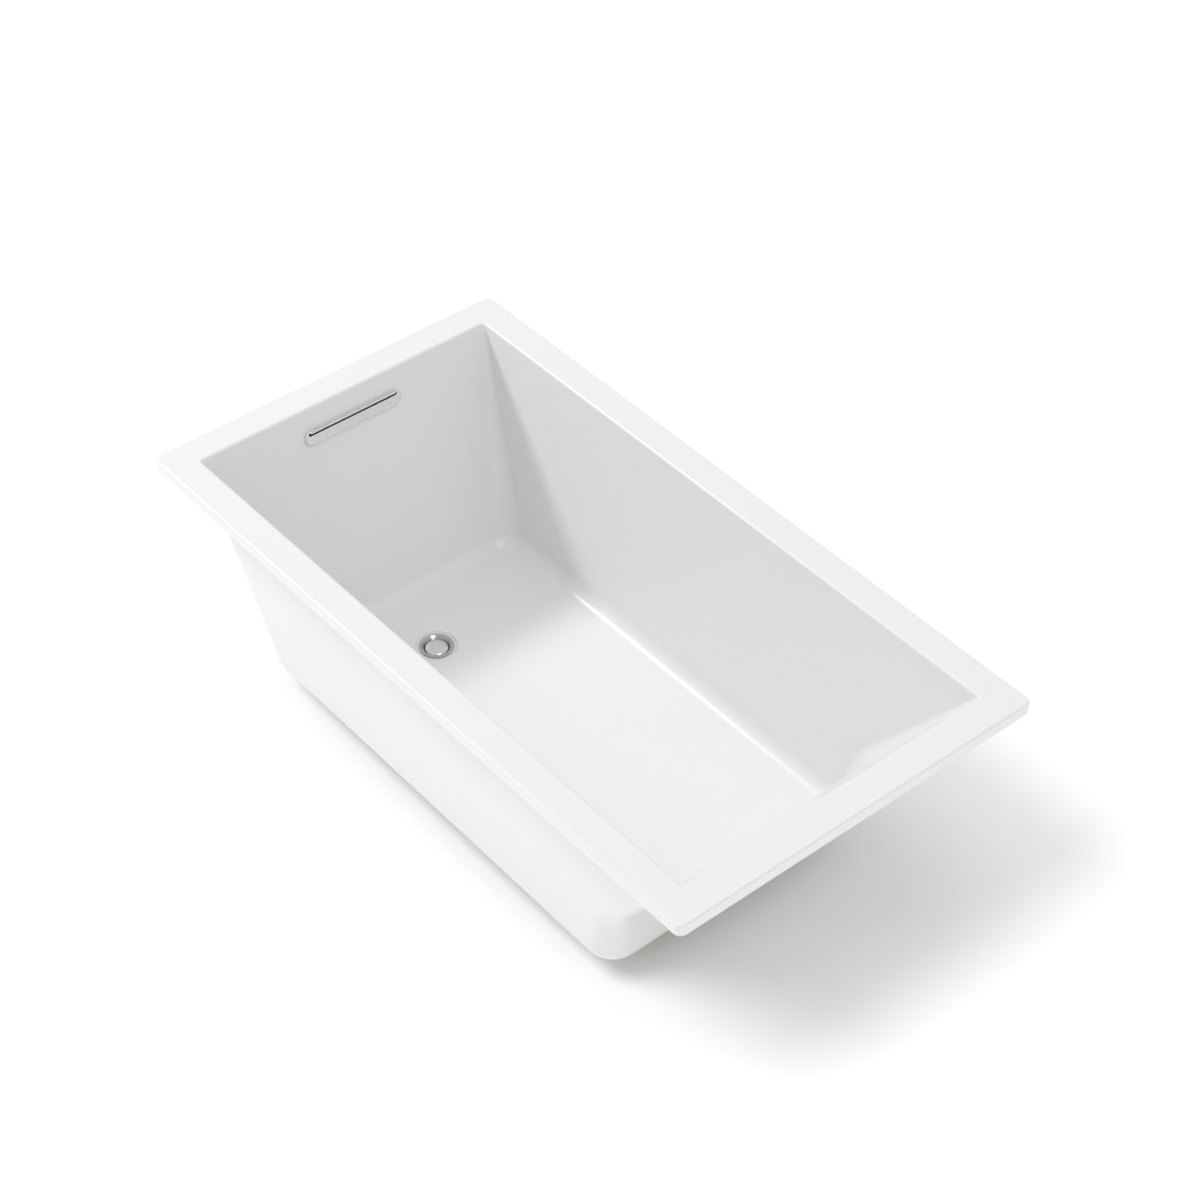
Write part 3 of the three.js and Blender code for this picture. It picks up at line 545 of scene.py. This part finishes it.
def spun(name, half_section, x=0.0, y=0.0, *, steps, bevel):
    """A round piece: its closed half section of (radius, height) points is spun about the upright at x, y."""
    bpy.ops.object.select_all(action="DESELECT")
    bpy.ops.mesh.primitive_plane_add(size=0.001)
    piece = bpy.context.object
    piece.name = name
    edit(piece)
    bpy.ops.mesh.select_all(action="SELECT")
    bpy.ops.mesh.merge(type="CENTER")
    bpy.ops.transform.translate(value=(half_section[0][0], 0, half_section[0][1]))
    closed = half_section[0][0] > 0 or half_section[-1][0] > 0
    path = half_section + half_section[:1] if closed else half_section
    for (r0, h0), (r1, h1) in zip(path, path[1:]):
        bpy.ops.mesh.extrude_region_move(TRANSFORM_OT_translate={"value": (r1 - r0, 0, h1 - h0)})
    bpy.ops.mesh.select_all(action="SELECT")
    bpy.ops.mesh.spin(steps=steps, angle=2 * pi, center=(0, 0, 0), axis=(0, 0, 1))
    bpy.ops.mesh.select_all(action="SELECT")
    bpy.ops.mesh.remove_doubles(threshold=0.00002)
    bpy.ops.mesh.normals_make_consistent(inside=False)
    bpy.ops.object.mode_set(mode="OBJECT")
    piece.location = (x, y, 0)
    settle(piece)
    if bevel:
        apply(piece, "BEVEL", width=bevel, segments=3, limit_method="ANGLE", angle_limit=radians(30))
    smooth(piece, 35)
    return piece


rail_places = {"drain": -0.255, "head": 0.325}
screw_places = {"near": -0.09, "far": 0.09}
for end, x in rail_places.items():
    for side, y in screw_places.items():
        screw = spun(
            f"screw_{end}_{side}",
            [
                (0, 0.0341),
                (0.0030, 0.0341),
                (0.0045, 0.0355),
                (0.0045, 0.0371),
                (0.002, 0.0371),
                (0.002, 0.0471),
                (0, 0.0491),
            ],
            x,
            y,
            steps=32,
            bevel=0.0002,
        )
        carve(screw, drum(0.0012, 0.033, 0.0355, x, y, sides=6))
        dress(screw, zinc, "steel")
        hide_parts(f"rail_screw_{end}_{side}")

# ---- Levelling feet ----
# Four feet, one near each end of both rails. Each is a moulded black pad that swivels under a zinc-plated
# stem, and the hexagon nut above it locks the height once the bath is level.

moulded = finish(
    "black_moulding",
    (0.035, 0.035, 0.037),
    (0.024, 0.024, 0.026),
    tone_scale=30.0,
    clouds_at=40.0,
    specks_at=900.0,
    roughness=0.52,
    spread=0.16,
    bump=0.25,
    bump_depth=0.0003,
)
foot_places = {"near": -0.2, "far": 0.2}
thread_root, thread_crest, thread_start, half_pitch = 0.0054, 0.006, 0.0137, 0.00088
crests = [(thread_root if i % 2 else thread_crest, thread_start + half_pitch * i) for i in range(28)]
for end, x in rail_places.items():
    for side, y in foot_places.items():
        pad = spun(
            f"pad_{end}_{side}",
            [
                (0, 0),
                (0.0225, 0),
                (0.025, 0.002),
                (0.025, 0.006),
                (0.019, 0.0078),
                (0.014, 0.009),
                (0.0125, 0.0082),
                (0, 0.0082),
            ],
            x,
            y,
            steps=72,
            bevel=0.0006,
        )
        dress(pad, moulded, "dark_plastic")
        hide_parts(f"foot_pad_{end}_{side}")
        stem = spun(
            f"stem_{end}_{side}",
            [
                (0, 0.0093),
                (0.0108, 0.0093),
                (0.011, 0.0097),
                (0.011, 0.0129),
                (0.0106, 0.0133),
                *crests,
                (0.0050, 0.0391),
                (0, 0.0391),
            ],
            x,
            y,
            steps=48,
            bevel=0,
        )
        dress(stem, zinc, "steel")
        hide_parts(f"foot_stem_{end}_{side}")
        nut = copy_of(f"foot_lock_nut_{end}_{side}", f"lock_nut_{end}_{side}", bevel=0.0006)
        dress(nut, zinc, "steel")
        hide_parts(f"foot_lock_nut_{end}_{side}")

# ---- Drain seal and flange ----
# The flange is turned brass with a chrome plate. Its colour is painted darker than the cover's chrome, as
# painted dark reflections in its cup. It drops through the floor onto a black rubber ring in the recess. Its
# cup narrows to a threaded tube with a cross at the foot.

rubber = finish(
    "black_rubber",
    (0.022, 0.022, 0.023),
    (0.014, 0.014, 0.015),
    tone_scale=20.0,
    clouds_at=60.0,
    specks_at=700.0,
    roughness=0.72,
    spread=0.18,
    bump=0.30,
    bump_depth=0.0003,
)
chrome = finish(
    "bright_chrome",
    (0.83, 0.84, 0.85),
    (0.76, 0.77, 0.79),
    tone_scale=14.0,
    clouds_at=18.0,
    specks_at=300.0,
    roughness=0.09,
    spread=0.07,
    bump=0.03,
    bump_depth=0.0001,
    Metallic=1.0,
)
# The flange's chrome colour is painted darker than the cover's, as painted dark reflections in the drain cup.
chrome_painted_dark = finish(
    "chrome_painted_dark",
    (0.60, 0.61, 0.62),
    (0.50, 0.51, 0.53),
    tone_scale=14.0,
    clouds_at=18.0,
    specks_at=300.0,
    roughness=0.13,
    spread=0.10,
    bump=0.04,
    bump_depth=0.0001,
    Metallic=1.0,
)
seal = spun(
    "drain_ring",
    [(0.0315, 0.0558), (0.034, 0.0558), (0.034, 0.0571), (0.0315, 0.0571)],
    DRAIN_X,
    DRAIN_Y,
    steps=96,
    bevel=0.0003,
)
dress(seal, rubber, "rubber")
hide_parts("drain_seal")

threads = [(0.026 - 0.0004 * (i % 2), 0.0390 + 0.0005 * i) for i in range(13)]
flange = spun(
    "drain_cup",
    [
        (0.0222, 0.0386),
        (0.0254, 0.0386),
        *threads,
        (0.026, 0.0457),
        (0.0300, 0.0574),
        (0.0346, 0.0574),
        (0.0350, 0.0578),
        (0.0350, 0.0586),
        (0.0345, 0.0592),
        (0.0330, 0.0596),
        (0.0308, 0.0596),
        (0.0298, 0.0592),
        (0.0292, 0.0584),
        (0.0284, 0.0578),
        (0.0281, 0.0566),
        (0.0272, 0.0560),
        (0.0269, 0.0547),
        (0.0261, 0.0541),
        (0.0225, 0.0456),
        (0.0225, 0.0390),
    ],
    DRAIN_X,
    DRAIN_Y,
    steps=120,
    bevel=0,
)
cross_bottom, cross_top = 0.0386, 0.0426
arm_length, arm_width = 0.047, 0.005
cross = drum(0.0103, cross_bottom, cross_top, DRAIN_X, DRAIN_Y, sides=48)
cross_middle = (DRAIN_X, DRAIN_Y, (cross_bottom + cross_top) / 2)
for size_x, size_y in ((arm_length, arm_width), (arm_width, arm_length)):
    bpy.ops.mesh.primitive_cube_add(size=1, location=cross_middle)
    arm = bpy.context.object
    edit(arm)
    size = (size_x, size_y, cross_top - cross_bottom)
    bpy.ops.transform.resize(value=size, center_override=cross_middle)
    bpy.ops.mesh.bevel(offset=0.0006, segments=2, affect="EDGES")
    bpy.ops.object.mode_set(mode="OBJECT")
    settle(arm)
    carve(cross, arm, "UNION")
carve(flange, cross, "UNION")
carve(flange, drum(0.0073, 0.036, 0.045, DRAIN_X, DRAIN_Y, sides=48))
smooth(flange, 35)
dress(flange, chrome_painted_dark, "chrome")
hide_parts("drain_flange")

# ---- Stopper ----
# A domed chrome cap on a brass plunger, with a rubber ring under its brim. A press lets a spring in the
# barrel lift it 9 mm; another press shuts it. The barrel's collar sits on the hub of the flange's cross.

cap_radius, cap_brim, dome_rise = 0.024, 0.0526, 0.006
cap_turns = [i / 10 * pi / 2 for i in range(10, -1, -1)]
cap_dome = [(cap_radius * sin(turn), cap_brim + dome_rise * cos(turn)) for turn in cap_turns]
cap = spun(
    "stopper_dome",
    [
        (0, 0.0501),
        (0.0225, 0.0501),
        (0.0237, 0.0506),
        (cap_radius, 0.0513),
        *cap_dome[:-1],
        (0, cap_brim + dome_rise),
    ],
    DRAIN_X,
    DRAIN_Y,
    steps=120,
    bevel=0,
)
dress(cap, chrome, "chrome", "stopper")
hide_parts("stopper_cap")
ring = spun(
    "stopper_ring",
    [(0.008, 0.0478), (0.0215, 0.0478), (0.022, 0.0483), (0.0216, 0.0498), (0.008, 0.0498)],
    DRAIN_X,
    DRAIN_Y,
    steps=96,
    bevel=0.0002,
)
dress(ring, rubber, "rubber", "stopper")
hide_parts("stopper_seal")
brass = finish(
    "raw_brass",
    (0.74, 0.56, 0.27),
    (0.60, 0.43, 0.19),
    tone_scale=25.0,
    clouds_at=20.0,
    specks_at=420.0,
    roughness=0.28,
    spread=0.22,
    bump=0.08,
    bump_depth=0.0002,
    Metallic=1.0,
)
plunger = spun(
    "stopper_pin",
    [(0, 0.0318), (0.0036, 0.0318), (0.004, 0.0322), (0.004, 0.0498), (0, 0.0498)],
    DRAIN_X,
    DRAIN_Y,
    steps=48,
    bevel=0,
)
dress(plunger, brass, "brass", "stopper")
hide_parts("stopper_plunger")
barrel = spun(
    "stopper_sleeve",
    [
        (0.0015, 0.0221),
        (0.0066, 0.0221),
        (0.007, 0.0225),
        (0.007, 0.0429),
        (0.009, 0.0429),
        (0.009, 0.0438),
        (0.0087, 0.0441),
        (0.0041, 0.0441),
        (0.0041, 0.0241),
        (0.0015, 0.0241),
    ],
    DRAIN_X,
    DRAIN_Y,
    steps=48,
    bevel=0,
)
dress(barrel, brass, "brass")
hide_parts("stopper_barrel")
plate_with_zinc("stopper_spring")

# ---- Waste shoe ----
# A cast brass elbow under the floor. Its flange squeezes a rubber gasket up against the shell as the drain
# flange is screwed down into it, and its side outlet is a socket for the waste pipe.

gasket = spun(
    "under_floor_ring",
    [(0.031, 0.0497), (0.038, 0.0497), (0.038, 0.0517), (0.031, 0.0517)],
    DRAIN_X,
    DRAIN_Y,
    steps=96,
    bevel=0.0004,
)
dress(gasket, rubber, "rubber")
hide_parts("shoe_gasket")

PIPE_HEIGHT = 0.026
PIPE_RADIUS, PIPE_BORE = 0.018, 0.016
SOCKET_RADIUS, SOCKET_BORE, SOCKET_DEPTH = 0.0209, 0.0183, 0.026
RISER_X, TEE_MOUTH_X, SHOE_MOUTH_X = -0.722, -0.680, -0.464


def level_bar(radius, low_x, high_x):
    """A plain round bar lying along the waste pipe's line."""
    bar = drum(radius, 0, high_x - low_x)
    bar.rotation_euler = (0, pi / 2, 0)
    bar.location = (low_x, DRAIN_Y, PIPE_HEIGHT)
    settle(bar)
    return bar


shoe = drum(0.0298, 0.005, 0.0494, DRAIN_X, DRAIN_Y)
carve(shoe, drum(0.038, 0.0464, 0.0494, DRAIN_X, DRAIN_Y), "UNION")
carve(shoe, level_bar(SOCKET_RADIUS, SHOE_MOUTH_X, DRAIN_X), "UNION")
carve(shoe, drum(0.0306, 0.0456, 0.055, DRAIN_X, DRAIN_Y))
carve(shoe, drum(0.0263, 0.0085, 0.05, DRAIN_X, DRAIN_Y))
carve(shoe, level_bar(PIPE_BORE, SHOE_MOUTH_X - 0.006, DRAIN_X))
carve(shoe, level_bar(SOCKET_BORE, SHOE_MOUTH_X - 0.006, SHOE_MOUTH_X + SOCKET_DEPTH))
shoe.name = "shoe"
smooth(shoe, 30)
dress(shoe, brass, "brass")
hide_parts("waste_shoe")

# ---- Tee ----
# A cast brass tee behind the drain end. The waste pipe and the overflow's riser meet in it, and its open
# foot goes down towards the house drain.

TEE_TOP, TEE_BRANCH_STOP = 0.074, -0.693
tee = drum(SOCKET_RADIUS, 0.005, TEE_TOP, RISER_X, DRAIN_Y)
carve(tee, level_bar(SOCKET_RADIUS, RISER_X, TEE_MOUTH_X), "UNION")
carve(tee, drum(PIPE_BORE, 0.0, 0.08, RISER_X, DRAIN_Y))
carve(tee, drum(SOCKET_BORE, TEE_TOP - SOCKET_DEPTH, 0.08, RISER_X, DRAIN_Y))
carve(tee, level_bar(PIPE_BORE, RISER_X, -0.67))
carve(tee, level_bar(SOCKET_BORE, TEE_BRANCH_STOP, -0.67))
tee.name = "tee"
smooth(tee, 30)
dress(tee, brass, "brass")
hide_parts("waste_tee")

# ---- Pipes ----
# Two lengths of drawn brass tube: one level from the shoe to the tee, and one upright from the tee to the
# overflow. Their sawn ends sit inside the sockets.

PIPE_HALF_LENGTH = 0.1265
RISER_BOTTOM, RISER_TOP = 0.049, 0.441
level_pipe = spun(
    "level_tube",
    [
        (PIPE_BORE, -PIPE_HALF_LENGTH),
        (PIPE_RADIUS, -PIPE_HALF_LENGTH),
        (PIPE_RADIUS, PIPE_HALF_LENGTH),
        (PIPE_BORE, PIPE_HALF_LENGTH),
    ],
    steps=72,
    bevel=0.0003,
)
level_pipe.rotation_euler = (0, pi / 2, 0)
level_pipe.location = (-0.5655, DRAIN_Y, PIPE_HEIGHT)
settle(level_pipe)
dress(level_pipe, brass, "brass")
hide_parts("waste_pipe")
riser = spun(
    "upright_tube",
    [
        (PIPE_BORE, RISER_BOTTOM),
        (PIPE_RADIUS, RISER_BOTTOM),
        (PIPE_RADIUS, RISER_TOP),
        (PIPE_BORE, RISER_TOP),
    ],
    RISER_X,
    DRAIN_Y,
    steps=72,
    bevel=0.0003,
)
dress(riser, brass, "brass")
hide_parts("riser_pipe")

# ---- Slip nuts and washers ----
# Each pipe end is sealed by a rubber washer that an eight-sided chrome nut squeezes onto its socket. The
# nuts thread over the sockets and are all the same.

SPOUT_END = 0.416
joints = {
    "shoe": ((SHOE_MOUTH_X, DRAIN_Y, PIPE_HEIGHT), (0, -pi / 2, 0)),
    "branch": ((TEE_MOUTH_X, DRAIN_Y, PIPE_HEIGHT), (0, pi / 2, 0)),
    "tee": ((RISER_X, DRAIN_Y, TEE_TOP), (0, 0, 0)),
    "overflow": ((RISER_X, DRAIN_Y, SPOUT_END), (pi, 0, 0)),
}
for joint, (place, turn) in joints.items():
    washer = spun(
        f"washer_{joint}",
        [(SOCKET_BORE, 0.0003), (0.0206, 0.0003), (0.0206, 0.0053), (SOCKET_BORE, 0.0053)],
        steps=64,
        bevel=0.0003,
    )
    nut = drum(0.024, -0.0104, 0.0076, sides=8)
    edit(nut)
    bpy.ops.mesh.select_mode(type="FACE")
    bpy.ops.mesh.select_all(action="DESELECT")
    bpy.ops.object.mode_set(mode="OBJECT")
    for face in nut.data.polygons:
        face.select = face.normal.z > 0.9
    bpy.ops.object.mode_set(mode="EDIT")
    bpy.ops.mesh.inset(thickness=0.002)
    bpy.ops.transform.translate(value=(0, 0, 0.002))
    bpy.ops.object.mode_set(mode="OBJECT")
    apply(nut, "BEVEL", width=0.0006, segments=3, limit_method="ANGLE", angle_limit=radians(20))
    carve(nut, drum(0.0212, -0.02, 0.0056))
    carve(nut, drum(SOCKET_BORE, 0, 0.02))
    nut.name = f"nut_{joint}"
    smooth(nut, 30)
    pair = ((washer, rubber, "rubber", "slip_washer"), (nut, chrome, "chrome", "slip_nut"))
    for piece, material, slot, part in pair:
        piece.rotation_euler = turn
        piece.location = place
        settle(piece)
        dress(piece, material, slot)
        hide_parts(f"{part}_{joint}")

# ---- Overflow box ----
# A black moulded box behind the drain-end wall, with a rubber gasket between them. Two screws through the
# bracket draw it up to the wall, and its spout points straight down to the riser.

box = copy_of("overflow_body", "overflow_box", bevel=0.0005)
dress(box, moulded, "dark_plastic")
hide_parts("overflow_body")
wall_ring = copy_of("overflow_gasket", "overflow_ring", bevel=0.0003)
dress(wall_ring, rubber, "rubber")
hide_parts("overflow_gasket")

# ---- Overflow bracket, screws and cover ----
# The bracket is stamped steel held by two countersunk screws. The chrome cover snaps over it, and a rolled
# lip hangs over the long slot that lets the water out.

bracket = copy_of("overflow_bracket", "bracket", bevel=0.0002)
dress(bracket, zinc, "steel")
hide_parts("overflow_bracket")
for side in ("near", "far"):
    plate_with_zinc(f"overflow_screw_{side}")
cover = bar_with_round_ends(0.231, 0.032, 0.0003, 0.0053)
carve(cover, bar_with_round_ends(0.2274, 0.0284, -0.001, 0.0031))
carve(cover, bar_with_round_ends(0.213, 0.007, -0.001, 0.01, y=0.0075))
carve(cover, bar_with_round_ends(0.207, 0.0046, 0.0042, 0.0078, y=0.0113), "UNION")
apply(cover, "BEVEL", width=0.0007, segments=4, limit_method="ANGLE", angle_limit=radians(50))
cover.name = "overflow_cover"
tilt_to_wall(cover)
smooth(cover, 40)
dress(cover, chrome, "chrome")
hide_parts("overflow_trim")

# ---- Room ----
# A seamless white floor under an even white sky. A broad key lamp beyond the drain end and a weak fill at
# the backrest end light the bath only; two wide lamps light the floor only, so that its shadow stays pale.

bpy.ops.mesh.primitive_plane_add(size=40)
floor = bpy.context.object
floor.name = "studio_floor"
paper = bpy.data.materials.new("white_paper")
paper.use_nodes = True
shader = paper.node_tree.nodes["Principled BSDF"]
shader.inputs["Base Color"].default_value = (0.96, 0.96, 0.96, 1)
shader.inputs["Roughness"].default_value = 0.9
shader.inputs["Specular IOR Level"].default_value = 0.1
floor.data.materials.append(paper)

sky = bpy.data.worlds.new("white_sky")
sky.use_nodes = True
sky.node_tree.nodes["Background"].inputs["Color"].default_value = (1, 1, 1, 1)
sky.node_tree.nodes["Background"].inputs["Strength"].default_value = 0.65
bpy.context.scene.world = sky


def lamp(name, azimuth, elevation, distance, size, power):
    """A round soft lamp that points at the bath's middle from an azimuth and elevation in degrees."""
    az, el = radians(azimuth), radians(elevation)
    away = (cos(el) * cos(az), cos(el) * sin(az), sin(el))
    bpy.ops.object.light_add(type="AREA", location=[distance * part for part in away])
    light = bpy.context.object
    light.name = name
    light.data.shape = "DISK"
    light.data.size = size
    light.data.energy = power
    light.rotation_euler = (pi / 2 - el, 0, az + pi / 2)
    return light


def share_out(light, floor_takes_it):
    """Lets a lamp light only the floor, or everything but the floor."""
    group = bpy.data.collections.new(light.name + "_reach")
    group.objects.link(floor)
    light.light_linking.receiver_collection = group
    if not floor_takes_it:
        group.collection_objects[0].light_linking.link_state = "EXCLUDE"


bath_lamps = [
    lamp("key", azimuth=208, elevation=44, distance=8, size=1.1, power=240),
    lamp("head_fill", azimuth=0, elevation=66, distance=8, size=3, power=100),
]
floor_lamps = [
    lamp("floor_wash", azimuth=258, elevation=61, distance=12, size=5, power=650),
    lamp("floor_overhead", azimuth=0, elevation=89.9, distance=8, size=6, power=150),
]
for light in bath_lamps:
    share_out(light, floor_takes_it=False)
for light in floor_lamps:
    share_out(light, floor_takes_it=True)

# ---- Camera ----
# A long lens well above the rim, out beyond the backrest end and the near side. It looks down over the
# backrest end towards the drain end, with the whole bath in the frame.

bpy.ops.object.camera_add(location=(2.9004, -2.3902, 3.9087))
camera = bpy.context.object
camera.data.sensor_fit = "HORIZONTAL"
camera.data.sensor_width = 36
camera.data.lens = 83.56
camera.data.clip_end = 100
yaw, pitch, roll = radians(-49.74), radians(42.581), radians(0.528)
camera.rotation_mode = "XYZ"
camera.rotation_euler = (pi / 2 - pitch, 0, -yaw)
camera.rotation_euler.rotate_axis("Z", roll)
bpy.context.scene.camera = camera
bpy.context.scene.view_settings.view_transform = "Standard"
bpy.context.scene.view_settings.look = "None"
